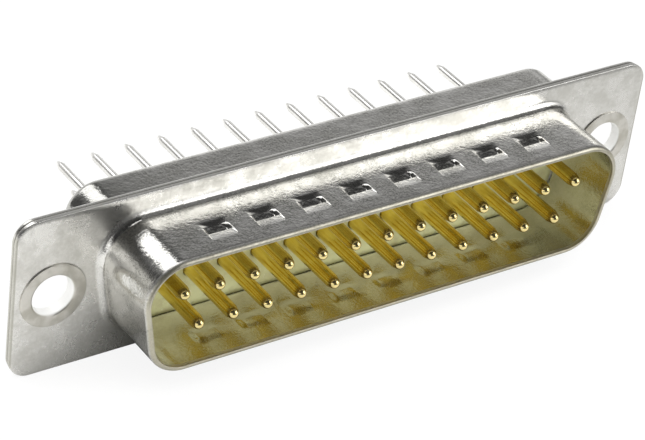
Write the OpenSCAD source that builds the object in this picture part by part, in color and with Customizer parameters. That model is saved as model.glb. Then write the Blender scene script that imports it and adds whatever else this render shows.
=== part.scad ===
// Two-row D-shaped plug connector with straight board tails.
// X runs along the rows, -Y is the mating side, +Y the tail side and +Z up, with the wide row above.
// The origin is midway between the two screw holes, on the seam between the shells' flanges.

/* [Contacts] */
// Number of contacts in the wide upper row, the lower row has one less
wide_row = 13; // [5:1:19]
// Distance between neighbouring contacts of a row
contact_pitch = 2.76; // [2.6:0.01:3.2]
// Distance between the two rows
row_spacing = 2.84; // [2.5:0.01:3.2]
// Diameter of the mating pins
pin_d = 1.02; // [0.8:0.01:1.2]
// How far a pin's tip stays behind the lip of the mouth
tip_setback = 0.3; // [0.1:0.05:1.5]
// How far the collar of a contact stands out beside its pin
collar_step = 0.29; // [0.15:0.01:0.35]
// Length of the collar in the front moulding
collar_front = 0.6; // [0.3:0.05:1]
// Length of the collar in the rear moulding
collar_rear = 0.6; // [0.3:0.05:1]
// Diameter of the tails
tail_d = 0.6; // [0.4:0.01:0.8]
// Length of a tail behind the cup
tail_reach = 7.6; // [3:0.1:12]
// Length of the tapered tip of a tail
tail_taper = 0.6; // [0.2:0.05:1]
// Diameter at the blunt end of a tail
tail_end_d = 0.28; // [0.2:0.01:0.4]

/* [Shells] */
// Thickness of the drawn sheet
sheet = 0.4; // [0.3:0.01:0.5]
// From the centre of an outer contact to the inside of the mouth
end_room = 2.92; // [2.7:0.01:4]
// Inside height of the mouth
mouth_h = 8.36; // [7.6:0.02:10]
// Inside corner radius of the mouth
mouth_r = 2.6; // [1.6:0.1:3]
// Slope of the short sides of the D
side_angle = 10; // [0:1:15]
// From the flange's front face to the lip of the mouth
mouth_depth = 5.9; // [5:0.1:8]
// Bend radius between the mouth's wall and the flange
mouth_bend = 0.6; // [0.3:0.05:1.2]
// Rounding of the lip's edges
lip_round = 0.12; // [0.05:0.01:0.14]
// How far the cup's wall stands outside the mouth's wall
cup_step = 0.75; // [0.5:0.05:2]
// Inside corner radius of the rear cup
cup_r = 2; // [1.4:0.1:3]
// Bend radius between the cup's wall and its flange
cup_bend = 0.25; // [0.1:0.05:0.5]
// Inside bend radius at the back of the cup
back_bend = 0.32; // [0.15:0.01:0.6]
// Width of the turned-in lip at the back of the cup
back_lip = 0.9; // [0.8:0.05:1.2]
// Flange above and below the shells' bends
flange_margin = 0.7; // [0.4:0.05:3]
// Flange beyond the eyelets at both ends
flange_end = 0.51; // [0.2:0.01:3]
// Corner radius of the flange
flange_r = 1.6; // [0.4:0.1:3]
// Setback of the rear sheet's edge from the front sheet's edge
rear_setback = 0.06; // [0:0.02:0.3]

/* [Dimples] */
// Width of a spring dimple along the wall
dimple_w = 2.05; // [1.2:0.05:2.6]
// Distance between dimples
dimple_pitch = 3.8; // [3:0.05:5]
// Flat wall left clear beyond the last dimples
dimple_end = 1.5; // [0.5:0.1:4]
// From the lip to the front of a dimple
dimple_setback = 1.55; // [0.8:0.05:2]
// Length of a dimple along the wall's depth
dimple_len = 2.25; // [1.6:0.05:2.8]
// Depth of a dimple below the outer face at its step
dimple_depth = 0.38; // [0.2:0.02:0.5]
// Length of the shallow ramp at the front of a dimple
dimple_ramp = 0.8; // [0.3:0.05:1]
// Depth of the shallow ramp at the step
dimple_ramp_depth = 0.12; // [0.04:0.02:0.16]
// Length over which the step drops
dimple_shear = 0.06; // [0.02:0.01:0.3]
// Height of the bump on the inner face, as a share of the dimple's depth
bump_share = 0.65; // [0.5:0.05:0.8]

/* [Eyelets] */
// Diameter of the screw holes
screw_d = 3.05; // [2.4:0.05:3.6]
// Wall of an eyelet's tube
eyelet_wall = 0.3; // [0.2:0.02:0.5]
// Width of an eyelet's flares beside its tube
flare_w = 0.665; // [0.4:0.005:1]
// Height of an eyelet's flares above the flanges
flare_t = 0.18; // [0.1:0.01:0.4]
// Radius of the bell mouth at an eyelet's front
front_bell = 0.4; // [0.2:0.01:0.7]
// Radius of the bell mouth at an eyelet's clinched back
clinch_bell = 0.18; // [0.1:0.01:0.3]
// Rounding of the flares' outer edges
flare_round = 0.08; // [0.02:0.01:0.09]
// Free flange between the shells' bends and an eyelet's flare
eyelet_room = 0.15; // [0.05:0.01:4]

/* [Mouldings] */
// Thickness of the front moulding, from the back of the flange to the rear moulding
front_block = 1.8; // [1.4:0.1:3]
// Relief round the front moulding's front edge, clear of the mouth's bend
front_relief = 0.1; // [0.05:0.01:0.3]
// Thickness of the rear moulding's block inside the cup
rear_block = 1.88; // [1.4:0.02:3]
// How far the rear moulding stands out behind the cup
boss_height = 0.6; // [0.2:0.1:2]
// Depth of the funnels round the tails
funnel_depth = 0.5; // [0.2:0.05:0.8]
// Widening of a funnel beside the tail bore
funnel_step = 0.35; // [0.1:0.05:0.4]

/* [Clearances] */
// Gap between the blocks and the cup's wall
block_gap = 0.05; // [0.02:0.01:0.1]
// Gap between the rear moulding and the cup's back lip
boss_gap = 0.15; // [0.05:0.01:0.3]
// Radial gap between contacts and their bores
bore_gap = 0.03; // [0.01:0.01:0.06]
// Radial gap between an eyelet's tube and the sheets
eyelet_gap = 0.03; // [0.01:0.01:0.1]

/* [Hidden] */
$fn = 72;
// Corners of a drawn or moulded D come out this much fuller than its straight sides
corner_swell = 0.01;
// Length by which a straight side runs into its corners
side_lap = 0.1;
// Flat ring of the drawn section that lies in the flange
flange_ring = 0.3;
// How far a cut starts outside the face that it enters
cut_lap = 0.2;

contact_count = 2 * wide_row - 1;
pin_r = pin_d / 2;
tail_r = tail_d / 2;
collar_r = pin_r + collar_step;
screw_r = screw_d / 2;
tube_r = screw_r + eyelet_wall;
flare_r = tube_r + flare_w;

// Inside of the mouth, then of the cup that holds the two mouldings
mouth_w = (wide_row - 1) * contact_pitch + 2 * end_room;
cup_w = mouth_w + 2 * cup_step;
cup_h = mouth_h + 2 * cup_step;

// Edge of the wider of the two shells' bends, then the flange outline and the screw holes in it
bend_x = max(cup_w / 2 + cup_bend, mouth_w / 2 + mouth_bend) + sheet;
bend_y = max(cup_h / 2 + cup_bend, mouth_h / 2 + mouth_bend) + sheet;
hole_x = bend_x + eyelet_room + flare_r;
flange_w = 2 * (hole_x + flare_r + flange_end);
flange_h = 2 * (bend_y + flange_margin);

// Stations along the mating direction, with forward counted positive from the flange's front face
split_z = -sheet - front_block;
cup_floor_z = split_z - rear_block;
cup_back_z = cup_floor_z - sheet;
boss_z = cup_back_z - boss_height;
tail_z = cup_back_z - tail_reach;
tip_z = mouth_depth - tip_setback;

// Room for dimples between the corners of the narrower wall
flat_half = d_centres(mouth_w, mouth_h, mouth_r)[1][0];
dimple_count = floor((2 * (flat_half - dimple_end) - dimple_w) / dimple_pitch) + 1;

function contact_name(i) = str("contact_", i < 10 ? "0" : "", i);

// Place of contact i, counted along the wide row and then along the narrow one
function contact_place(i) =
    i <= wide_row
    ? [(i - (wide_row + 1) / 2) * contact_pitch, row_spacing / 2]
    : [(i - wide_row - wide_row / 2) * contact_pitch, -row_spacing / 2];

// Centres of the right upper and right lower corner of a D
function d_centres(w, h, r) =
    let (x = w / 2 - r, y = h / 2 - r)
    [[x, y], [x - 2 * y * tan(side_angle), -y]];

// Turns a piece drawn with its mating side up to mate towards -Y, and puts the flanges' seam at the origin
module upright() {
    rotate([90, 0, 0])
        translate([0, 0, sheet])
            children();
}

// D outline with its wide side up
module d_shape(w, h, r) {
    centres = d_centres(w, h, r);
    foot = r * [cos(side_angle), -sin(side_angle)];
    half = [
        centres[0] + [0, r],
        centres[0] + foot,
        centres[1] + foot,
        centres[1] - [0, r]
    ];
    polygon(concat(half, [for (i = [3:-1:0]) [-half[i][0], half[i][1]]]));
    for (side = [-1, 1], c = centres)
        translate([side * c[0], c[1]])
            circle(r + corner_swell);
}

// Straight stretch of a drawn section, from a corner's centre
module d_side(from, turn, length, r) {
    translate(from)
        rotate(turn)
            translate([r, side_lap, 0])
                rotate([90, 0, 0])
                    linear_extrude(length + 2 * side_lap)
                        children();
}

// Round stretch of a drawn section about a corner's centre
module d_corner(centre, start, angle, r) {
    translate(centre)
        rotate(start)
            rotate_extrude(angle = angle)
                translate([r, 0])
                    children();
}

// Carries a section round a D: the first child along the sides, the second round the corners
module d_sweep(w, h, r) {
    centres = d_centres(w, h, r);
    upper = centres[0];
    lower = centres[1];
    d_side([-upper[0], upper[1]], 90, 2 * upper[0], r)
        children(0);
    d_side(lower, -90, 2 * lower[0], r)
        children(0);
    for (flip = [0, 1])
        mirror([flip, 0, 0]) {
            d_side(upper, -side_angle, norm(upper - lower), r)
                children(0);
            d_corner(upper, -side_angle, 90 + side_angle, r)
                children(1);
            d_corner(lower, -90, 90 - side_angle, r)
                children(1);
        }
}

// Quarter bend of the sheet from a wall along +Y to a flange along +X, with its inside radius
module sheet_bend(radius, swell) {
    centre_x = sheet + radius;
    difference() {
        union() {
            intersection() {
                translate([centre_x - swell, radius])
                    circle(sheet + radius);
                translate([-swell, -sheet])
                    square([centre_x, sheet + radius]);
            }
            translate([centre_x - swell, -sheet])
                square([flange_ring + swell, sheet + radius]);
        }
        translate([centre_x + swell, radius])
            circle(radius);
        translate([centre_x + swell, 0])
            square([flange_ring, radius + sheet]);
    }
}

// Section of the front shell's drawn wall, with its inner face on the axis
module mouth_section(swell) {
    wall = sheet + 2 * swell;
    sheet_bend(mouth_bend, swell);
    translate([-swell, mouth_bend])
        square([wall, mouth_depth - lip_round - mouth_bend]);
    translate([lip_round - swell, mouth_depth - 2 * lip_round])
        square([wall - 2 * lip_round, 2 * lip_round]);
    for (x = [lip_round - swell, sheet + swell - lip_round])
        translate([x, mouth_depth - lip_round])
            circle(lip_round);
}

// Section of the rear shell's drawn wall, with its inner face on the axis
module cup_section(swell) {
    bend_z = cup_back_z + sheet + back_bend;
    flange_z = -2 * sheet;
    translate([0, flange_z])
        mirror([0, 1])
            sheet_bend(cup_bend, swell);
    translate([-swell, bend_z])
        square([sheet + 2 * swell, flange_z - cup_bend - bend_z]);
    difference() {
        union() {
            intersection() {
                translate([swell - back_bend, bend_z])
                    circle(sheet + back_bend);
                translate([swell - back_bend, cup_back_z])
                    square(sheet + back_bend);
            }
            translate([-back_lip - swell, cup_back_z])
                square([back_lip - back_bend + 2 * swell, sheet + back_bend]);
        }
        translate([-back_bend - swell, bend_z])
            circle(back_bend);
        translate([-back_lip - 2 * swell, cup_floor_z])
            square([back_lip - back_bend + swell, sheet + back_bend]);
    }
}

// Flat part of a shell's flange, open in the middle for the drawn wall
module flange_plate(setback, opening_w, opening_h, opening_r) {
    corner = flange_r - setback;
    half_w = flange_w / 2 - setback - corner;
    half_h = flange_h / 2 - setback - corner;
    linear_extrude(sheet)
        difference() {
            union() {
                square(2 * [half_w + corner, half_h], center = true);
                square(2 * [half_w, half_h + corner], center = true);
                for (x = [-half_w, half_w], y = [-half_h, half_h])
                    translate([x, y])
                        circle(corner);
            }
            d_shape(opening_w, opening_h, opening_r);
            for (x = [-hole_x, hole_x])
                translate([x, 0])
                    circle(tube_r + eyelet_gap);
        }
}

// Side view of a dimple in the outer face, as depth against distance behind its front
module dimple_form() {
    polygon([
        [cut_lap, 0],
        [0, 0],
        [-dimple_ramp_depth, -dimple_ramp],
        [-dimple_depth, -dimple_ramp - dimple_shear],
        [0, -dimple_len],
        [cut_lap, -dimple_len]
    ]);
}

// Side view of the bump that a dimple pushes out of the inner face
module bump_form() {
    polygon([
        [cut_lap, 0],
        [0, 0],
        [-bump_share * dimple_depth, -dimple_ramp - dimple_shear],
        [0, -dimple_len],
        [cut_lap, -dimple_len]
    ]);
}

// Row of a side view drawn out along the upper and lower wall, at a height from the middle
module dimple_rows(height, width) {
    for (flip = [0, 1], i = [1:dimple_count])
        mirror([0, flip, 0])
            translate([
                (i - (dimple_count + 1) / 2) * dimple_pitch - width / 2,
                height,
                mouth_depth - dimple_setback
            ])
                rotate([90, 0, 90])
                    linear_extrude(width)
                        children();
}

// Front shell: flange, drawn D wall and inward spring dimples
module front_shell() {
    opening = sheet + mouth_bend + flange_ring / 2;
    bump_w = dimple_w + sheet;
    color("gainsboro")
        upright()
            difference() {
                union() {
                    d_sweep(mouth_w, mouth_h, mouth_r) {
                        mouth_section(0);
                        mouth_section(corner_swell);
                    }
                    translate([0, 0, -sheet])
                        flange_plate(0, mouth_w + 2 * opening, mouth_h + 2 * opening, mouth_r + opening);
                    dimple_rows(mouth_h / 2, bump_w)
                        bump_form();
                }
                dimple_rows(mouth_h / 2 + sheet, dimple_w)
                    dimple_form();
            }
}

// Rear shell: flange and drawn cup with a turned-in back lip
module rear_shell() {
    opening = sheet + cup_bend + flange_ring / 2;
    color("darkgray")
        upright() {
            d_sweep(cup_w, cup_h, cup_r) {
                cup_section(0);
                cup_section(corner_swell);
            }
            translate([0, 0, -2 * sheet])
                flange_plate(rear_setback, cup_w + 2 * opening, cup_h + 2 * opening, cup_r + opening);
        }
}

// D block that fills the cup, reduced all round by a gap
module cup_fill(gap, height) {
    linear_extrude(height)
        d_shape(cup_w - 2 * gap, cup_h - 2 * gap, cup_r - gap);
}

// Round holes for all contacts, upwards from a station
module contact_holes(z, radius, height) {
    for (i = [1:contact_count])
        translate(concat(contact_place(i), z))
            cylinder(r = radius, h = height);
}

// Front moulding: block in the cup whose face closes the mouth behind its bend, with bores for the pins
module front_insulator() {
    color("lightgray")
        upright()
            difference() {
                translate([0, 0, split_z]) {
                    cup_fill(block_gap, front_block - front_relief);
                    cup_fill(block_gap + front_relief, front_block);
                }
                contact_holes(split_z - cut_lap, pin_r + bore_gap, front_block + 2 * cut_lap);
                contact_holes(split_z - cut_lap, collar_r + bore_gap, collar_front + cut_lap);
            }
}

// Rear moulding: stepped block in the cup, boss through its back, funnels round the tails
module rear_insulator() {
    tail_bore_r = tail_r + bore_gap;
    boss_inset = back_lip + boss_gap;
    color("lightgray")
        upright()
            difference() {
                union() {
                    translate([0, 0, cup_floor_z + back_bend])
                        cup_fill(block_gap, rear_block - back_bend);
                    translate([0, 0, cup_floor_z])
                        cup_fill(back_bend + block_gap, rear_block);
                    translate([0, 0, boss_z])
                        cup_fill(boss_inset, split_z - boss_z);
                }
                contact_holes(boss_z - cut_lap, tail_bore_r, split_z - boss_z + 2 * cut_lap);
                contact_holes(split_z - collar_rear, collar_r + bore_gap, collar_rear + cut_lap);
                for (i = [1:contact_count])
                    translate(concat(contact_place(i), boss_z))
                        cylinder(r1 = tail_bore_r + funnel_step, r2 = tail_bore_r, h = funnel_depth);
            }
}

// Half section of a contact: tapered tail, collar, pin and ball end
module contact_section() {
    polygon([
        [0, tail_z],
        [tail_end_d / 2, tail_z],
        [tail_r, tail_z + tail_taper],
        [tail_r, split_z - collar_rear],
        [collar_r, split_z - collar_rear],
        [collar_r, split_z + collar_front],
        [pin_r, split_z + collar_front],
        [pin_r, tip_z - pin_r],
        [0, tip_z - pin_r]
    ]);
    translate([0, tip_z - pin_r])
        intersection() {
            circle(pin_r);
            square(pin_r);
        }
}

// Contact i, turned in one piece
module contact(i) {
    color("gold")
        upright()
            translate(contact_place(i))
                rotate_extrude()
                    contact_section();
}

// Half section of one flare with its length of tube, with the flange's face on the axis
module flare_section(bell) {
    edge = flare_t - flare_round;
    difference() {
        union() {
            translate([screw_r, -sheet])
                square([eyelet_wall, sheet + flare_t]);
            translate([screw_r, 0]) {
                square([flare_r - screw_r, edge]);
                square([flare_r - screw_r - flare_round, flare_t]);
            }
            translate([flare_r - flare_round, edge])
                circle(flare_round);
        }
        difference() {
            translate([screw_r - cut_lap, flare_t - bell])
                square(bell + cut_lap);
            translate([screw_r + bell, flare_t - bell])
                circle(bell);
        }
    }
}

// Eyelet that clamps the two flanges, on the side given by the sign
module eyelet(side) {
    color("wheat")
        upright()
            translate([side * hole_x, 0, 0])
                rotate_extrude() {
                    flare_section(front_bell);
                    translate([0, -2 * sheet])
                        mirror([0, 1])
                            flare_section(clinch_bell);
                }
}

module eyelet_left() {
    eyelet(-1);
}

module eyelet_right() {
    eyelet(1);
}

front_shell();
rear_shell();
front_insulator();
rear_insulator();
eyelet_left();
eyelet_right();
for (i = [1:contact_count])
    contact(i);
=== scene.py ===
import math

import bmesh
import bpy
from mathutils import Matrix, Vector


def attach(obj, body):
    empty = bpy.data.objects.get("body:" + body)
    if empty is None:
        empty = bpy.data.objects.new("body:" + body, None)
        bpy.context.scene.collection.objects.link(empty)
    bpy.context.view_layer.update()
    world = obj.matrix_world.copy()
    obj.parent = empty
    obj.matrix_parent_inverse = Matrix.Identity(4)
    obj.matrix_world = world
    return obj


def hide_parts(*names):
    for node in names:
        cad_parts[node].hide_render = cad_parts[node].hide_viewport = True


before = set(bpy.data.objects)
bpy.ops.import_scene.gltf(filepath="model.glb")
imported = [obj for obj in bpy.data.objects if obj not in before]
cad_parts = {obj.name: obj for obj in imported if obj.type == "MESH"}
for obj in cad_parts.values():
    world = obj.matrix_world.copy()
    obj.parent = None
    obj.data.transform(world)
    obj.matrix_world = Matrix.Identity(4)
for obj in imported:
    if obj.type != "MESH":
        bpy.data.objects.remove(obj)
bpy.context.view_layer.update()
scene = bpy.context.scene
scene.view_settings.view_transform = "Standard"
print("frame loaded,", len(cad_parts), "solids")

mm = 0.001  # lengths in the dictionaries are millimetres
holeX = 23.52  # the screw holes lie this far to either side of the middle
tolerance = {"weld": 1e-4, "sliver": 1e-5, "wall": 1e-3}


# shader wiring

class Signal:  # a socket that takes part in sums
    def __init__(self, board, socket):
        self.board = board
        self.socket = socket

    def sum(self, operation, first, second):
        return self.board.node("Math", {"operation": operation}, {0: first, 1: second})

    def __add__(self, other):
        return self.sum("ADD", self, other)

    def __radd__(self, other):
        return self.sum("ADD", other, self)

    def __sub__(self, other):
        return self.sum("SUBTRACT", self, other)

    def __rsub__(self, other):
        return self.sum("SUBTRACT", other, self)

    def __mul__(self, other):
        return self.sum("MULTIPLY", self, other)

    def __rmul__(self, other):
        return self.sum("MULTIPLY", other, self)

    def __abs__(self):
        return self.sum("ABSOLUTE", self, 0)


class Board:  # one node tree
    def __init__(self, tree):
        self.tree = tree
        tree.nodes.clear()

    def node(self, kind, settings=None, sockets=None, out=0):
        made = self.tree.nodes.new("ShaderNode" + kind)
        for name, value in (settings or {}).items():
            setattr(made, name, value)
        for name, value in (sockets or {}).items():
            if isinstance(value, Signal):
                self.tree.links.new(value.socket, made.inputs[name])
            else:
                made.inputs[name].default_value = value
        return Signal(self, made.outputs[out]) if made.outputs else None

    def place(self):
        return self.node("TexCoord", out="Object")

    def axis(self, letter):
        return self.node("SeparateXYZ", {}, {"Vector": self.place()}, out=letter)

    def stretched(self, scale):
        return self.node("Mapping", {}, {"Vector": self.place(), "Scale": scale})

    def noise(self, size, detail, rough=0.5, where=None):
        sockets = {"Vector": where or self.place(), "Scale": 1 / (size * mm), "Detail": detail, "Roughness": rough}
        return self.node("TexNoise", {}, sockets)

    def ease(self, value, low, high):  # 0 below low, 1 above high, smooth between
        sockets = {"Value": value, "From Min": low, "From Max": high}
        return self.node("MapRange", {"interpolation_type": "SMOOTHSTEP"}, sockets)

    def easeMm(self, value, low, high):  # the same with limits in millimetres
        return self.ease(value, low * mm, high * mm)

    def blend(self, factor, first, second):
        first, second = (rgba(shade) if isinstance(shade, tuple) else shade for shade in (first, second))
        return self.node("Mix", {"data_type": "RGBA"}, {0: factor, 6: first, 7: second}, out=2)

    def bump(self, height):  # height in millimetres
        return self.node("Bump", {}, {"Height": height, "Distance": mm, "Strength": 1.0})

    def surface(self, **sockets):
        named = {name.replace("_", " ").title(): value for name, value in sockets.items()}
        shader = self.node("BsdfPrincipled", {}, named)
        self.node("OutputMaterial", {}, {"Surface": shader})


def rgba(shade):
    return (*shade, 1)


def newFinish(name):
    material = bpy.data.materials.new(name)
    material.use_nodes = True
    return material, Board(material.node_tree)


def fromHole(board):  # distance from the axis of the nearer screw hole
    spot = board.node("CombineXYZ", {}, {"X": abs(board.axis("X")) - holeX * mm, "Z": board.axis("Z")})
    return board.node("VectorMath", {"operation": "LENGTH"}, {0: spot}, out="Value")


# finishes: noises are (size, detail, roughness), pairs on an axis are where a change begins and ends

tinPlate = {
    "bright": (0.80, 0.79, 0.76), "dull": (0.66, 0.65, 0.61),
    "blotchMix": 0.6, "grainMix": 0.4, "mottleRange": (0.38, 0.66),
    "roughness": 0.10, "mottleSatin": 0.08, "flatSatin": 0.16, "insideSatin": 0.05, "lipSatin": 0.25, "paintedShadeSatin": 0.2,
    "waveNoise": (9, 1), "blotchNoise": (1.6, 3), "grainNoise": (0.26, 3, 0.6),
    "brushNoise": (0.3, 2), "brushStretch": (0.05, 1, 1),
    "waveHeight": 0.05, "blotchHeight": 0.012, "grainHeight": 0.010, "drawnGrain": 0.009, "brushHeight": 0.004,
    "outwardRange": (-2.5, -1.0), "drawnY": (0.42, 0.7),
    "speck": (0.36, 0.36, 0.34), "speckShare": 0.7, "speckNoise": (0.13, 2, 0.6),
    "speckRange": (0.46, 0.64), "speckPatches": (0.36, 0.58),
    "leftEndDarkShare": 0.6, "leftEndDarkX": (-18, -13), "leftEndDarkY": (0.5, 0.8),
    # the mouth colour is painted shade and painted gold reflection
    "mouth": (0.52, 0.45, 0.32), "mouthShare": 0.3,
    "lip": (0.46, 0.43, 0.32), "lipShadeShare": 0.75, "lipY": (-6.24, -6.04), "rollY": (-6.04, -5.9),
    "side": (0.50, 0.49, 0.42), "sideShare": 0.6, "sideX": (26.36, 26.44),
    # the darkest colour below is painted shade for the seams, the eyelets' shadows and the flange-end lines
    "paintedShade": (0.20, 0.19, 0.16), "paintedShadeShare": 0.85, "seamY": (0.039, 0.13),
    "ringShare": 0.6, "ringReach": (2.5, 2.62), "ringSide": (-0.8, 0.8),
    "cornerShare": 0.3, "cornerY": (-0.36, -0.28),
}


def makeTinPlate():
    s = tinPlate
    material, board = newFinish("tinPlate")
    x, y = board.axis("X"), board.axis("Y")
    wave = board.noise(*s["waveNoise"])
    blotch = board.noise(*s["blotchNoise"])
    grain = board.noise(*s["grainNoise"])
    brushing = board.noise(*s["brushNoise"], where=board.stretched(s["brushStretch"]))
    normal = board.node("NewGeometry", out="Normal")
    sideways = board.node("VectorMath", {"operation": "MULTIPLY"}, {0: normal, 1: (1, 0, 1)})
    outward = board.node("VectorMath", {"operation": "DOT_PRODUCT"}, {0: sideways, 1: board.place()}, out="Value")
    inside = 1 - board.easeMm(outward, *s["outwardRange"])  # faces turned to the middle
    drawn = board.easeMm(abs(y), *s["drawnY"])  # 0 on the flanges, 1 on the walls
    polished = drawn * (1 - inside)
    mottle = board.ease(blotch * s["blotchMix"] + grain * s["grainMix"], *s["mottleRange"])
    shade = board.blend(mottle, s["bright"], s["dull"])
    specks = board.ease(board.noise(*s["speckNoise"]), *s["speckRange"])
    specks = specks * board.ease(blotch, *s["speckPatches"]) * polished
    shade = board.blend(specks * s["speckShare"], shade, s["speck"])
    leftEndDark = (1 - board.easeMm(x, *s["leftEndDarkX"])) * board.easeMm(y, *s["leftEndDarkY"])
    shade = board.blend(leftEndDark * s["leftEndDarkShare"], shade, s["speck"])  # the rear cup is darker towards its left end
    shade = board.blend(inside * drawn * s["mouthShare"], shade, s["mouth"])  # painted shade and painted gold reflection: darker and browner on faces inside the mouth
    # painted shade: the front lip darker and olive, toning down its highlight
    lipShade = 1 - board.easeMm(y, *s["lipY"])
    shade = board.blend(lipShade * s["lipShadeShare"], shade, s["lip"])
    sideFace = board.easeMm(abs(x), *s["sideX"])  # cut ends of the flanges
    shade = board.blend(sideFace * s["sideShare"], shade, s["side"])

    # painted shade: dark where sheet meets sheet, a painted shadow beside the eyelets on the shell's side, and a dark
    # line on the front flange's end corners
    seam = 1 - board.easeMm(abs(y), *s["seamY"])
    shellSide = 1 - board.easeMm(abs(x) - holeX * mm, *s["ringSide"])
    ring = (1 - board.easeMm(fromHole(board), *s["ringReach"])) * shellSide
    corner = sideFace * (1 - board.easeMm(y, *s["cornerY"]))
    paintedShade = seam + (ring * s["ringShare"] + corner * s["cornerShare"]) * (1 - seam)

    height = wave * s["waveHeight"] + blotch * s["blotchHeight"] + brushing * s["brushHeight"] * (1 - drawn)
    height = height + grain * (drawn * s["drawnGrain"] + s["grainHeight"])
    rolled = 1 - board.easeMm(y, *s["rollY"])
    satin = (1 - drawn) * s["flatSatin"] + drawn * inside * s["insideSatin"] + rolled * s["lipSatin"]
    board.surface(
        base_color=board.blend(paintedShade * s["paintedShadeShare"], shade, s["paintedShade"]), metallic=1.0,
        roughness=mottle * s["mottleSatin"] + satin + paintedShade * s["paintedShadeSatin"] + s["roughness"],
        normal=board.bump(height),
    )
    return material


eyeletPlate = {
    "bright": (0.70, 0.68, 0.63), "dull": (0.55, 0.53, 0.47), "blotchNoise": (1.2, 3), "mottleRange": (0.35, 0.65),
    "roughness": 0.36, "mottleSatin": 0.10, "grainNoise": (0.25, 3, 0.6), "grainHeight": 0.012,
    "bore": (0.95, 0.95, 0.93), "boreReach": (1.54, 1.66), "borePaintedLight": 0.9,
}


def makeEyeletPlate():
    s = eyeletPlate
    material, board = newFinish("eyeletPlate")
    mottle = board.ease(board.noise(*s["blotchNoise"]), *s["mottleRange"])
    grain = board.noise(*s["grainNoise"])
    bore = 1 - board.easeMm(fromHole(board), *s["boreReach"])  # painted reflection: pale and matt down the hole, standing in for the white backdrop seen through it
    plate = board.blend(mottle, s["bright"], s["dull"])
    board.surface(
        base_color=board.blend(bore, plate, s["bore"]), metallic=1 - bore * s["borePaintedLight"],
        roughness=mottle * s["mottleSatin"] + s["roughness"], normal=board.bump(grain * s["grainHeight"]),
    )
    return material


contactPlate = {
    "gold": (0.92, 0.73, 0.19), "deepGold": (0.82, 0.60, 0.11), "goldRoughness": 0.16,
    "tipHighlightGold": (0.95, 0.86, 0.58), "tipHighlightShare": 0.45, "tipY": (-5.75, -5.3),
    "tin": (0.90, 0.89, 0.87), "dullTin": (0.78, 0.77, 0.74), "tinRoughness": 0.22, "tinY": (1.6, 2.2),
    "patchNoise": (0.9, 2), "patchMix": 0.5, "wornRange": (0.35, 0.65), "wornSatin": 0.06,
    "streakNoise": (0.18, 2), "streakStretch": (1, 0.06, 1), "streakMix": 0.5, "streakHeight": 0.003,
}


def makeContactPlate():
    s = contactPlate
    material, board = newFinish("contactPlate")
    along = board.axis("Y")
    tip = 1 - board.easeMm(along, *s["tipY"])
    tinned = board.easeMm(along, *s["tinY"])
    streak = board.noise(*s["streakNoise"], where=board.stretched(s["streakStretch"]))  # drawn out along the pin
    patch = board.noise(*s["patchNoise"])
    worn = board.ease(patch * s["patchMix"] + streak * s["streakMix"], *s["wornRange"])
    gold = board.blend(worn, s["gold"], s["deepGold"])
    # painted highlight: the noses are paler gold
    gold = board.blend(tip * s["tipHighlightShare"], gold, s["tipHighlightGold"])
    tin = board.blend(worn, s["tin"], s["dullTin"])
    rough = tinned * (s["tinRoughness"] - s["goldRoughness"]) + s["goldRoughness"]
    board.surface(
        base_color=board.blend(tinned, gold, tin), metallic=1.0,
        roughness=rough + worn * s["wornSatin"], normal=board.bump(streak * s["streakHeight"]),
    )
    return material


mouldedPlastic = {
    "pale": (0.77, 0.79, 0.46), "deep": (0.65, 0.65, 0.35),
    "flowNoise": (3.5, 3), "flowStretch": (0.4, 1, 1), "flowRange": (0.35, 0.65), "flowHeight": 0.02,
    "cloud": (0.46, 0.41, 0.22), "cloudShare": 0.5, "cloudNoise": (1.5, 3, 0.6), "cloudRange": (0.46, 0.72),
    "fleck": (0.82, 0.83, 0.62), "fleckShare": 0.5, "fleckNoise": (0.22, 1), "fleckRange": (0.64, 0.72),
    "gap": (0.08, 0.07, 0.04), "gapShadowShare": 0.9, "gapShadowZ": (-4.68, -4.56), "gapShadowY": (0, 0.3),
    "roughness": 0.32, "grainSatin": 0.12, "grainNoise": (0.16, 2), "grainHeight": 0.010,
}


def makeMouldedPlastic():
    s = mouldedPlastic
    material, board = newFinish("mouldedPlastic")
    flow = board.noise(*s["flowNoise"], where=board.stretched(s["flowStretch"]))
    grain = board.noise(*s["grainNoise"])
    shade = board.blend(board.ease(flow, *s["flowRange"]), s["pale"], s["deep"])
    clouds = board.ease(board.noise(*s["cloudNoise"]), *s["cloudRange"])
    shade = board.blend(clouds * s["cloudShare"], shade, s["cloud"])
    edge = 1 - board.easeMm(board.axis("Z"), *s["gapShadowZ"])
    gap = edge * (1 - board.easeMm(board.axis("Y"), *s["gapShadowY"]))  # painted shadow: a dark line under the lower wall's bend
    shade = board.blend(gap * s["gapShadowShare"], shade, s["gap"])
    flecks = board.ease(board.noise(*s["fleckNoise"]), *s["fleckRange"])
    board.surface(
        base_color=board.blend(flecks * s["fleckShare"], shade, s["fleck"]),
        roughness=grain * s["grainSatin"] + s["roughness"],
        normal=board.bump(grain * s["grainHeight"] + flow * s["flowHeight"]),
    )
    return material


finishes = {
    "shell_plate": makeTinPlate(),
    "eyelet_plate": makeEyeletPlate(),
    "contact_metal": makeContactPlate(),
    "moulding": makeMouldedPlastic(),
}
print("finishes made,", len(finishes))


# modelling steps shared by the pieces

def arc(centre, radius, start, end, steps):
    points = []
    for i in range(steps + 1):
        a = math.radians(start + (end - start) * i / steps)
        points.append((centre[0] + radius * math.cos(a), centre[1] + radius * math.sin(a)))
    return points


def line(start, end, steps):  # the points between the two ends
    return [tuple(a + (b - a) * i / steps for a, b in zip(start, end)) for i in range(1, steps)]


def divided(stations, counts):  # values that part each stretch between two stations evenly
    values = [stations[0]]
    for start, end, count in zip(stations, stations[1:], counts):
        values += [start + (end - start) * (i + 1) / count for i in range(count)]
    return values


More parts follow.
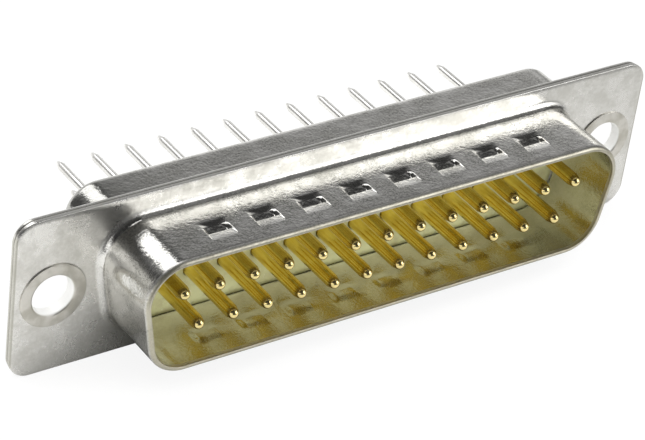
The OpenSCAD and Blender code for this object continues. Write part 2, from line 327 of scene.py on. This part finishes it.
def rowOf(geometry):
    verts = [g for g in geometry if isinstance(g, bmesh.types.BMVert)]
    known = set(verts)
    edges = [g for g in geometry if isinstance(g, bmesh.types.BMEdge) and known.issuperset(g.verts)]
    return verts, edges


def drawRow(bm, places, closed=False):
    verts = [bm.verts.new(p) for p in places]
    pairs = list(zip(verts, verts[1:] + verts[:1] if closed else verts[1:]))
    return verts, [bm.edges.new(pair) for pair in pairs]


def pull(bm, row, step, columns):  # extrudes a row over one run and cuts the run into columns
    along = Vector(step)
    start = row[0][0].co.copy()
    verts, edges = rowOf(bmesh.ops.extrude_edge_only(bm, edges=row[1])["geom"])
    bmesh.ops.translate(bm, verts=verts, vec=along)
    if isinstance(columns, int):
        places = [i / columns for i in range(1, columns)]
    else:
        places = [0.5 + x / along.length for x in columns]
    moved = set(verts)
    rungs = [e for v in verts for e in v.link_edges if e.other_vert(v) not in moved]
    cut = bmesh.ops.subdivide_edges(bm, edges=rungs, cuts=len(places))
    for v in {g for g in cut["geom"] if isinstance(g, bmesh.types.BMVert)}:
        at = (v.co - start).dot(along) / along.length_squared
        column = round(at * (len(places) + 1))
        if 0 < column <= len(places):
            v.co += along * (places[column - 1] - at)
    return list({v for e in edges for v in e.verts}), edges


def turn(bm, row, x, z, degrees, steps, full=False):
    made = bmesh.ops.spin(
        bm, geom=row[0] + row[1], cent=(x, 0, z), axis=(0, 1, 0), dvec=(0, 0, 0),
        angle=math.radians(degrees), steps=steps, use_merge=full, use_duplicate=False,
    )
    return rowOf(made["geom_last"])


def carryRound(bm, section, outline, columns):  # section points are (outwards, y)
    corner, slope = outline["corner"], outline["slope"]
    xHigh = outline["width"] / 2 - corner
    z = outline["height"] / 2 - corner
    xLow = xHigh - 2 * z * math.tan(math.radians(slope))
    blunt, keen = 90 + slope, 90 - slope
    row = drawRow(bm, [(-xHigh, y, z + corner + out) for out, y in section])
    runs = [(2 * xHigh, 0), (xLow - xHigh, -2 * z), (-2 * xLow, 0), (xLow - xHigh, 2 * z)]
    corners = [(xHigh, z, blunt), (xLow, -z, keen), (-xLow, -z, keen), (-xHigh, z, blunt)]
    for (dx, dz), (cx, cz, angle), cuts in zip(runs, corners, columns):
        row = pull(bm, row, (dx, 0, dz), cuts)
        row = turn(bm, row, cx, cz, angle, outline["turnSteps"])
    bmesh.ops.remove_doubles(bm, verts=bm.verts, dist=tolerance["weld"])


def spinRing(bm, section, x, z, steps, closed=False):  # section points are (radius, y)
    row = drawRow(bm, [(x + r, y, z) for r, y in section], closed)
    turn(bm, row, x, z, 360, steps, full=True)


def fillPlane(bm, y, outwards):  # closes what is still open on one plane
    close = tolerance["weld"]
    rims = [e for e in bm.edges if e.is_boundary and all(abs(v.co.y - y) < close for v in e.verts)]
    bmesh.ops.triangle_fill(bm, edges=rims, use_beauty=True, normal=(0, outwards, 0))


def finishPiece(bm, name, node, slot, sharp=None):
    bmesh.ops.remove_doubles(bm, verts=bm.verts, dist=tolerance["weld"])
    bmesh.ops.dissolve_degenerate(bm, edges=bm.edges, dist=tolerance["sliver"])
    bmesh.ops.recalc_face_normals(bm, faces=bm.faces)
    openEdges = sum(1 for e in bm.edges if not e.is_manifold)
    mesh = bpy.data.meshes.new(name)
    bm.to_mesh(mesh)
    bm.free()
    mesh.transform(Matrix.Scale(mm, 4))
    mesh.shade_smooth()
    if sharp:
        mesh.set_sharp_from_angle(angle=math.radians(sharp))
    mesh.materials.append(finishes[slot])
    piece = bpy.data.objects.new(name, mesh)
    scene.collection.objects.link(piece)
    even = piece.modifiers.new("evenShading", "WEIGHTED_NORMAL")
    even.keep_sharp = True
    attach(piece, "root")
    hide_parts(node)
    print(name, len(mesh.polygons), "faces,", openEdges, "open edges")


# flanges of both shells

flange = {
    "width": 53.04, "height": 12.56, "corner": 1.6, "slope": 0, "columns": (8, 4, 8, 4), "turnSteps": 16,
    "holeRadius": 1.855, "holeSteps": 72, "seamRound": 0.1, "rearRound": 0.17, "roundSteps": 5,
    "roll": 0.035, "rollSteps": 8, "cutRound": 0.04, "cutFrom": -60, "cutSteps": 3,
}


def addFlange(bm, shell):
    s = flange
    front, back, rim = shell["flangeFront"], shell["flangeBack"], shell["rim"]
    outline = dict(s)
    for side in ("width", "height"):
        outline[side] -= 2 * shell["setback"]
    outline["corner"] -= shell["setback"]
    edge = [(-rim, front)]
    if shell["rolled"]:  # the punch drew the front face down a little towards its cut edge
        roll, cut, steps = s["roll"], s["cutRound"], s["rollSteps"]
        for i in range(1, steps + 1):
            edge.append((-rim + (rim - cut) * i / steps, front + roll * (i / steps) ** 2))
        edge += arc((-cut, front + roll + cut), cut, s["cutFrom"], 0, s["cutSteps"])
        soft = s["seamRound"]
    else:
        edge += arc((-s["seamRound"], front + s["seamRound"]), s["seamRound"], -90, 0, s["roundSteps"])
        soft = s["rearRound"]
    edge += arc((-soft, back - soft), soft, 0, 90, s["roundSteps"])
    edge += [(-rim, back)]
    carryRound(bm, edge, outline, s["columns"])
    radius = s["holeRadius"]
    hole = [(radius + rim, front), (radius, front), (radius, back), (radius + rim, back)]
    for x in (-holeX, holeX):
        spinRing(bm, hole, x, 0, s["holeSteps"])


# front shell

frontShell = {
    "width": 38.96, "height": 8.36, "corner": 2.6, "slope": 10, "sideColumns": 6, "turnSteps": 24,
    "sheet": 0.4, "lip": -6.3, "lipRound": 0.08, "lipSteps": 5, "lipOuterRound": 0.3, "lipOuterSteps": 7,
    "bend": 0.6, "bendSteps": 16, "ring": 0.15,
    "flangeFront": -0.4, "flangeBack": 0.0, "setback": 0, "rim": 0.38, "rolled": True,
}
dimples = {
    "count": 8, "pitch": 3.79, "shift": 0.15, "width": 2.05, "front": -4.82, "back": -2.75,
    "ramp": 0.8, "rampDepth": 0.085, "rampEase": 1.2, "shear": 0.05, "depth": 0.34, "rise": 1.3,
    "bank": 48, "fade": 0.85, "fadeFrom": 0.1, "fadeTo": 0.6,
    "edge": 0.03, "foot": 0.06, "footShare": 0.6, "footLeast": 1e-4,
    "bulge": 0.12, "bulgeRise": 0.9, "bulgeFlat": 0.2, "bulgeSide": 0.6,
    "columnPlaces": (-0.42, -0.08, 0.1, 0.6), "columnCounts": (1, 6, 10, 3, 10, 6, 1),
    "rowFront": 0.06, "rowStep": 0.03, "rowFoot": 0.05, "rowCounts": (5, 2, 7, 1, 3, 2, 18, 6),
}


def easeStep(t):
    t = min(max(t, 0), 1)
    return t * t * (3 - 2 * t)


def lesser(a, b, soft):  # the smaller of two, rounded where they meet
    near = max(soft - abs(a - b), 0) / soft
    return min(a, b) - near * near * soft / 4


def dimpleAcross(x):  # distance from the middle of the nearest dimple
    first = dimples["shift"] - (dimples["count"] - 1) / 2 * dimples["pitch"]
    nearest = min(max(round((x - first) / dimples["pitch"]), 0), dimples["count"] - 1)
    return abs(x - first - nearest * dimples["pitch"])


def dimpleDepth(x, y):  # outer face: a ramp, a sheared step, then a floor that rises between sloping banks
    s = dimples
    behind = y - s["front"]
    deep = s["ramp"] + s["shear"]
    length = s["back"] - s["front"]
    if not 0 < behind < length:
        return 0
    steep = math.tan(math.radians(s["bank"]))
    if behind < s["ramp"]:
        along = s["rampDepth"] * (behind / s["ramp"]) ** s["rampEase"]
    elif behind < deep:
        along = s["rampDepth"] + (s["depth"] - s["rampDepth"]) * (behind - s["ramp"]) / s["shear"]
    else:
        t = (behind - deep) / (length - deep)
        along = s["depth"] * (1 - t) ** s["rise"]
        steep *= 1 - s["fade"] * easeStep((t - s["fadeFrom"]) / (s["fadeTo"] - s["fadeFrom"]))
    bank = -lesser((dimpleAcross(x) - s["width"] / 2) * steep, 0, s["edge"])
    foot = min(s["foot"], s["footShare"] * along + s["footLeast"])
    return max(lesser(along, bank, foot), 0)


def bulgeHeight(x, y):  # inner face: a low soft mound
    s = dimples
    behind = y - s["front"]
    rise = easeStep(behind / s["bulgeRise"])
    fall = 1 - easeStep((behind - s["bulgeRise"] - s["bulgeFlat"]) / s["bulgeRise"])
    outside = dimpleAcross(x) - s["width"] / 2
    return s["bulge"] * rise * fall * (1 - easeStep(outside / s["bulgeSide"] + 0.5))


def dimpleColumns():  # closest at each dimple's banks
    s = dimples
    stations = [place - s["width"] / 2 for place in s["columnPlaces"]]
    stations += [-x for x in reversed(stations)]
    offsets = divided(stations, s["columnCounts"])
    middles = [s["shift"] + (i - (s["count"] - 1) / 2) * s["pitch"] for i in range(s["count"])]
    return [middle + offset for middle in middles for offset in offsets]


def wallRows(start, end):  # from the lip to where the wall ends, closest where the dimples bend
    s = dimples
    front, step = s["front"], s["front"] + s["ramp"]
    foot = step + s["shear"]
    stations = [start, front - s["rowFront"], front + s["rowFront"], step - s["rowStep"]]
    stations += [step, foot, foot + s["rowFoot"], s["back"], end]
    return divided(stations, s["rowCounts"])[1:-1]


def makeFrontShell():
    s = frontShell
    bm = bmesh.new()
    front, back, lip, sheet = s["flangeFront"], s["flangeBack"], s["lip"], s["sheet"]
    soft, softer = s["lipRound"], s["lipOuterRound"]
    centre, bendY = sheet + s["bend"], front - s["bend"]
    section = [(centre + s["ring"], back)]
    section += arc((centre, bendY), centre, 90, 180, s["bendSteps"])
    section += [(0, y) for y in reversed(wallRows(lip + soft, bendY))]
    section += arc((soft, lip + soft), soft, 180, 270, s["lipSteps"])
    section += arc((sheet - softer, lip + softer), softer, 270, 360, s["lipOuterSteps"])
    section += [(sheet, y) for y in wallRows(lip + softer, bendY)]
    section += arc((centre, bendY), s["bend"], 180, 90, s["bendSteps"])
    section += [(centre + s["ring"], front)]
    carryRound(bm, section, s, (dimpleColumns(), s["sideColumns"]) * 2)
    inside = s["height"] / 2
    for v in bm.verts:  # press the dimples into the upper and lower wall
        level = abs(v.co.z)
        if abs(level - inside) < tolerance["wall"]:
            sink = bulgeHeight(v.co.x, v.co.y)
        elif abs(level - inside - sheet) < tolerance["wall"]:
            sink = dimpleDepth(v.co.x, v.co.y)
        else:
            sink = 0
        v.co.z -= math.copysign(sink, v.co.z)
    addFlange(bm, s)
    fillPlane(bm, front, -1)
    fillPlane(bm, back, 1)
    finishPiece(bm, "frontShell", "front_shell", "shell_plate")


# rear shell

rearShell = {
    "width": 40.46, "height": 9.86, "corner": 2.0, "slope": 10, "columns": (40, 8, 40, 8), "turnSteps": 24,
    "sheet": 0.4, "cupBack": 4.08, "wallSteps": 8, "backLip": 0.9, "lipRound": 0.08, "lipSteps": 4,
    "bend": 0.25, "bendSteps": 6, "mouthSteps": 10, "ring": 0.3,
    "backBend": 0.32, "backBendSteps": 8, "backOuterSteps": 12,
    "flangeFront": 0.0, "flangeBack": 0.4, "setback": 0.06, "rim": 0.3, "rolled": False,
}


def makeRearShell():
    s = rearShell
    bm = bmesh.new()
    front, back, cup, sheet, soft = s["flangeFront"], s["flangeBack"], s["cupBack"], s["sheet"], s["lipRound"]
    centre, bendY = sheet + s["bend"], back + s["bend"]
    rollY = cup - sheet - s["backBend"]
    roll = (-s["backBend"], rollY)
    section = [(centre + s["ring"], front)]
    section += arc((centre, bendY), centre, 270, 180, s["mouthSteps"])
    section += line((0, bendY), (0, rollY), s["wallSteps"])
    section += arc(roll, s["backBend"], 0, 90, s["backBendSteps"])
    section += arc((soft - s["backLip"], cup - sheet + soft), soft, 270, 180, s["lipSteps"])
    section += arc((soft - s["backLip"], cup - soft), soft, 180, 90, s["lipSteps"])
    section += arc(roll, sheet + s["backBend"], 90, 0, s["backOuterSteps"])
    section += line((sheet, rollY), (sheet, bendY), s["wallSteps"])
    section += arc((centre, bendY), s["bend"], 180, 270, s["bendSteps"])
    section += [(centre + s["ring"], back)]
    carryRound(bm, section, s, s["columns"])
    addFlange(bm, s)
    fillPlane(bm, front, -1)
    fillPlane(bm, back, 1)
    finishPiece(bm, "rearShell", "rear_shell", "shell_plate")


# eyelets

eyelet = {
    "bore": 1.525, "wall": 0.3, "flare": 2.49, "height": 0.10, "edgeRound": 0.04, "roundSteps": 5,
    "front": -0.4, "frontBell": 0.24, "bellSteps": 12, "back": 0.4, "clinchBell": 0.18, "clinchSteps": 8,
    "steps": 96, "sharp": 50,
}


def makeEyelet(name, node, side):
    s = eyelet
    bm = bmesh.new()
    top, bottom = s["front"] - s["height"], s["back"] + s["height"]
    bell, clinch, soft = s["frontBell"], s["clinchBell"], s["edgeRound"]
    tube = s["bore"] + s["wall"]
    section = arc((s["bore"] + bell, top + bell), bell, 180, 270, s["bellSteps"])
    section += arc((s["flare"] - soft, top + soft), soft, 270, 360, s["roundSteps"])
    section += [(s["flare"], s["front"]), (tube, s["front"]), (tube, s["back"]), (s["flare"], s["back"])]
    section += arc((s["flare"] - soft, bottom - soft), soft, 0, 90, s["roundSteps"])
    section += arc((s["bore"] + clinch, bottom - clinch), clinch, 90, 180, s["clinchSteps"])
    spinRing(bm, section, side * holeX, 0, s["steps"], closed=True)
    finishPiece(bm, name, node, "eyelet_plate", s["sharp"])


# contacts

contact = {
    "wideRow": 13, "narrowRow": 12, "pitch": 2.76, "rowSpacing": 2.84, "steps": 40, "sharp": 50,
    "tip": -6.0, "nose": 0.42, "noseTaper": 15, "noseSteps": 12, "pin": 0.51,
    "collar": 0.80, "collarFront": 1.2, "collarBack": 2.4,
    "tail": 0.30, "tailEnd": 11.68, "taper": 0.6, "blunt": 0.14,
    "bluntRound": 0.06, "bluntFrom": 20, "bluntSteps": 3,
}
contactNumbers = range(1, contact["wideRow"] + contact["narrowRow"] + 1)


def contactPlace(i):
    s = contact
    if i <= s["wideRow"]:
        return (i - (s["wideRow"] + 1) / 2) * s["pitch"], s["rowSpacing"] / 2
    return (i - s["wideRow"] - (s["narrowRow"] + 1) / 2) * s["pitch"], -s["rowSpacing"] / 2


def makeContact(i):
    s = contact
    bm = bmesh.new()
    x, z = contactPlace(i)
    section = arc((0, s["tip"] + s["nose"]), s["nose"], 270, 360 - s["noseTaper"], s["noseSteps"])
    noseOut, noseEnd = section[-1]
    noseEnd += (s["pin"] - noseOut) / math.tan(math.radians(s["noseTaper"]))
    section += [(s["pin"], noseEnd), (s["pin"], s["collarFront"]), (s["collar"], s["collarFront"])]
    section += [(s["collar"], s["collarBack"]), (s["tail"], s["collarBack"])]
    section += [(s["tail"], s["tailEnd"] - s["taper"])]
    soft = s["bluntRound"]
    section += arc((s["blunt"] - soft, s["tailEnd"] - soft), soft, s["bluntFrom"], 90, s["bluntSteps"])
    section += [(0, s["tailEnd"])]
    spinRing(bm, section, x, z, s["steps"])
    finishPiece(bm, f"contact{i:02d}", f"contact_{i:02d}", "contact_metal", s["sharp"])


# mouldings

frontMoulding = {
    "width": 40.36, "height": 9.76, "corner": 1.95, "slope": 10, "columns": (20, 4, 20, 4), "turnSteps": 16,
    "face": 0.0, "back": 1.8, "edgeRound": 0.06, "roundSteps": 4, "ring": 0.4,
    "pinBore": 0.54, "leadIn": 0.06, "collarBore": 0.83, "collarFrom": 1.2, "holeSteps": 28, "sharp": 35,
}
rearMoulding = {
    "width": 40.46, "height": 9.86, "corner": 2.0, "slope": 10, "columns": (20, 4, 20, 4), "turnSteps": 16,
    "front": 1.8, "step": 3.36, "floor": 3.68, "boss": 4.68, "edgeRound": 0.12, "roundSteps": 5, "ring": 0.4,
    "gap": 0.05, "stepInset": 0.37, "bossInset": 1.05,
    "collarBore": 0.83, "collarTo": 2.4, "tailBore": 0.33, "funnel": 0.68, "funnelDepth": 0.5,
    "holeSteps": 28, "sharp": 35,
}


def finishMoulding(section, bore, name, node, s):  # the block, a bore for every contact, then both faces
    bm = bmesh.new()
    carryRound(bm, section, s, s["columns"])
    for i in contactNumbers:
        spinRing(bm, bore, *contactPlace(i), s["holeSteps"])
    fillPlane(bm, section[0][1], -1)
    fillPlane(bm, section[-1][1], 1)
    finishPiece(bm, name, node, "moulding", s["sharp"])


def makeFrontMoulding():
    s = frontMoulding
    soft, ring = s["edgeRound"], s["ring"]
    section = [(-ring, s["face"])]
    section += arc((-soft, s["face"] + soft), soft, -90, 0, s["roundSteps"])
    section += arc((-soft, s["back"] - soft), soft, 0, 90, s["roundSteps"])
    section += [(-ring, s["back"])]
    bore = [
        (s["pinBore"] + s["leadIn"], s["face"]), (s["pinBore"], s["face"] + s["leadIn"]),
        (s["pinBore"], s["collarFrom"]), (s["collarBore"], s["collarFrom"]), (s["collarBore"], s["back"]),
    ]
    finishMoulding(section, bore, "frontMoulding", "front_insulator", s)


def makeRearMoulding():
    s = rearMoulding
    soft, ring = s["edgeRound"], s["ring"]
    section = [(-s["gap"] - ring, s["front"]), (-s["gap"], s["front"]), (-s["gap"], s["step"])]
    section += [(-s["stepInset"], s["step"]), (-s["stepInset"], s["floor"]), (-s["bossInset"], s["floor"])]
    section += arc((-s["bossInset"] - soft, s["boss"] - soft), soft, 0, 90, s["roundSteps"])
    section += [(-s["bossInset"] - ring, s["boss"])]
    bore = [
        (s["collarBore"], s["front"]), (s["collarBore"], s["collarTo"]), (s["tailBore"], s["collarTo"]),
        (s["tailBore"], s["boss"] - s["funnelDepth"]), (s["funnel"], s["boss"]),
    ]
    finishMoulding(section, bore, "rearMoulding", "rear_insulator", s)


makeFrontShell()
makeRearShell()
makeEyelet("eyeletLeft", "eyelet_left", -1)
makeEyelet("eyeletRight", "eyelet_right", 1)
makeFrontMoulding()
makeRearMoulding()
for number in contactNumbers:
    makeContact(number)
print("pieces made")


# table, light and camera

table = {
    "z": -6.28, "size": 900, "shade": (0.88, 0.88, 0.87), "whiteShare": 0.85, "white": 1.06,
    "near": (0.12, 0.12, 0.11), "nearReach": 9, "nearSamples": 6, "nearRange": (0.15, 0.6),
    "ends": (0.60, 0.60, 0.59), "rightX": (18, 36), "leftX": (-16, -6), "leftShare": 0.2,
    "far": (0.08, 0.08, 0.08), "farY": (-30, -22),
}


def makeFloor():
    s = table
    bm = bmesh.new()
    bmesh.ops.create_grid(bm, x_segments=2, y_segments=2, size=s["size"] / 2)
    bmesh.ops.translate(bm, verts=bm.verts, vec=(0, 0, s["z"]))
    mesh = bpy.data.meshes.new("floor")
    bm.to_mesh(mesh)
    bm.free()
    mesh.transform(Matrix.Scale(mm, 4))
    material, board = newFinish("paleTable")
    x, y = board.axis("X"), board.axis("Y")
    seen = board.node("LightPath", out="Is Camera Ray")
    mirrored = board.node("LightPath", out="Is Glossy Ray")
    ends = board.easeMm(x, *s["rightX"]) + (1 - board.easeMm(x, *s["leftX"])) * s["leftShare"]
    shade = board.blend(ends, s["shade"], s["ends"])  # painted shade: the table is darker towards both ends and brightest in front of the middle
    # painted shadow: the table's colour darkens where ambient occlusion finds the object close
    near = board.node("AmbientOcclusion", {"samples": s["nearSamples"]}, {"Distance": s["nearReach"] * mm}, out="AO")
    shade = board.blend(board.ease(near, *s["nearRange"]), s["near"], shade)
    far = 1 - board.easeMm(y, *s["farY"])
    shade = board.blend(far * mirrored, shade, s["far"])  # in mirrors the table ends not far in front
    paint = board.node("BsdfDiffuse", {}, {"Color": shade})
    white = board.node("Emission", {}, {"Color": (1, 1, 1, 1), "Strength": s["white"]})
    mixed = board.node("MixShader", {}, {0: seen * s["whiteShare"], 1: paint, 2: white})
    board.node("OutputMaterial", {}, {"Surface": mixed})
    mesh.materials.append(material)
    floor = bpy.data.objects.new("floor", mesh)
    scene.collection.objects.link(floor)


room = {
    "level": 1.0, "lean": 0.45,
    "dim": 0.03, "horizon": 0.8, "horizonUp": (12, 50), "behindY": (-0.3, 0.3),
    "rightX": (0.62, 0.80), "rightShare": 0.7, "leftX": (-0.6, -0.35), "leftLeast": 0.1,
    "glow": 1.5, "glowX": (-0.68, -0.5), "glowUp": (6, 24),
    "ceiling": 0.17, "ceilingX": (0.25, 0.35, 0.95, 1.1), "ceilingY": (-0.95, -0.85, 0.12, 0.24), "leastUp": 0.05,
}


def makeWorld():
    s = room
    scene.world = bpy.data.worlds.new("studio")
    scene.world.use_nodes = True
    board = Board(scene.world.node_tree)
    direction = board.node("TexCoord", out="Generated")
    right, away, up = [board.node("SeparateXYZ", {}, {"Vector": direction}, out=letter) for letter in "XYZ"]
    horizonUp, glowUp = [[math.sin(math.radians(a)) for a in s[name]] for name in ("horizonUp", "glowUp")]

    # what mirrors see: pale walls behind, a dim room in front, a glow low on the left, a patch of ceiling
    low = 1 - board.ease(up, *horizonUp)
    behind = board.ease(away, *s["behindY"]) * (1 - board.ease(right, *s["rightX"]) * s["rightShare"])
    behindLeft = board.ease(right, *s["leftX"]) * (1 - s["leftLeast"]) + s["leftLeast"]
    glow = (1 - board.ease(right, *s["glowX"])) * (1 - board.ease(up, *glowUp))
    above = board.node("Math", {"operation": "MAXIMUM"}, {0: up, 1: s["leastUp"]})
    ceiling = s["ceiling"]
    for axis, (a, b, c, d) in ((right, s["ceilingX"]), (away, s["ceilingY"])):
        across = board.node("Math", {"operation": "DIVIDE"}, {0: axis, 1: above})
        ceiling = board.ease(across, a, b) * (1 - board.ease(across, c, d)) * ceiling
    mirror = low * behind * behindLeft * (s["horizon"] - s["dim"]) + s["dim"]
    mirror = mirror + glow * (1 - behind) * s["glow"] + ceiling

    camera = board.node("LightPath", out="Is Camera Ray")
    glossy = board.node("LightPath", out="Is Glossy Ray")
    soft = (1 - away * s["lean"]) * s["level"]
    strength = camera + glossy * mirror + (1 - camera - glossy) * soft
    sky = board.node("Background", {}, {"Color": (1, 1, 1, 1), "Strength": strength})
    board.node("OutputWorld", {}, {"Surface": sky})


softboxes = [
    {"towards": (0.629, -0.698, 0.342), "distance": 480, "size": (300, 370), "radiance": 2.6},
    {"towards": (-0.1, 0.553, 0.829), "distance": 480, "size": (254, 510), "radiance": 2.0},
]


def makeSoftboxes():
    for i, s in enumerate(softboxes):
        lamp = bpy.data.lights.new(f"softbox{i + 1}", "AREA")
        lamp.shape = "RECTANGLE"
        lamp.size, lamp.size_y = [side * mm for side in s["size"]]
        lamp.energy = s["radiance"] * math.pi * lamp.size * lamp.size_y
        box = bpy.data.objects.new(lamp.name, lamp)
        box.location = [c * s["distance"] * mm for c in s["towards"]]
        box.rotation_euler = box.location.to_track_quat("Z", "Y").to_euler()
        scene.collection.objects.link(box)


view = {
    "place": (-100.1786, -126.8156, 107.6718), "angles": (55.8269, -6.4144, -33.5394),
    "lens": 152.664, "sensor": 36, "clip": (5, 10000),
}


def makeCamera():
    s = view
    camera = bpy.data.objects.new("camera", bpy.data.cameras.new("camera"))
    camera.location = [c * mm for c in s["place"]]
    camera.rotation_euler = [math.radians(a) for a in s["angles"]]
    camera.data.sensor_fit = "HORIZONTAL"
    camera.data.sensor_width = s["sensor"]
    camera.data.lens = s["lens"]
    camera.data.clip_start, camera.data.clip_end = [reach * mm for reach in s["clip"]]
    scene.collection.objects.link(camera)
    scene.camera = camera


makeFloor()
makeWorld()
makeSoftboxes()
makeCamera()
print("studio set")
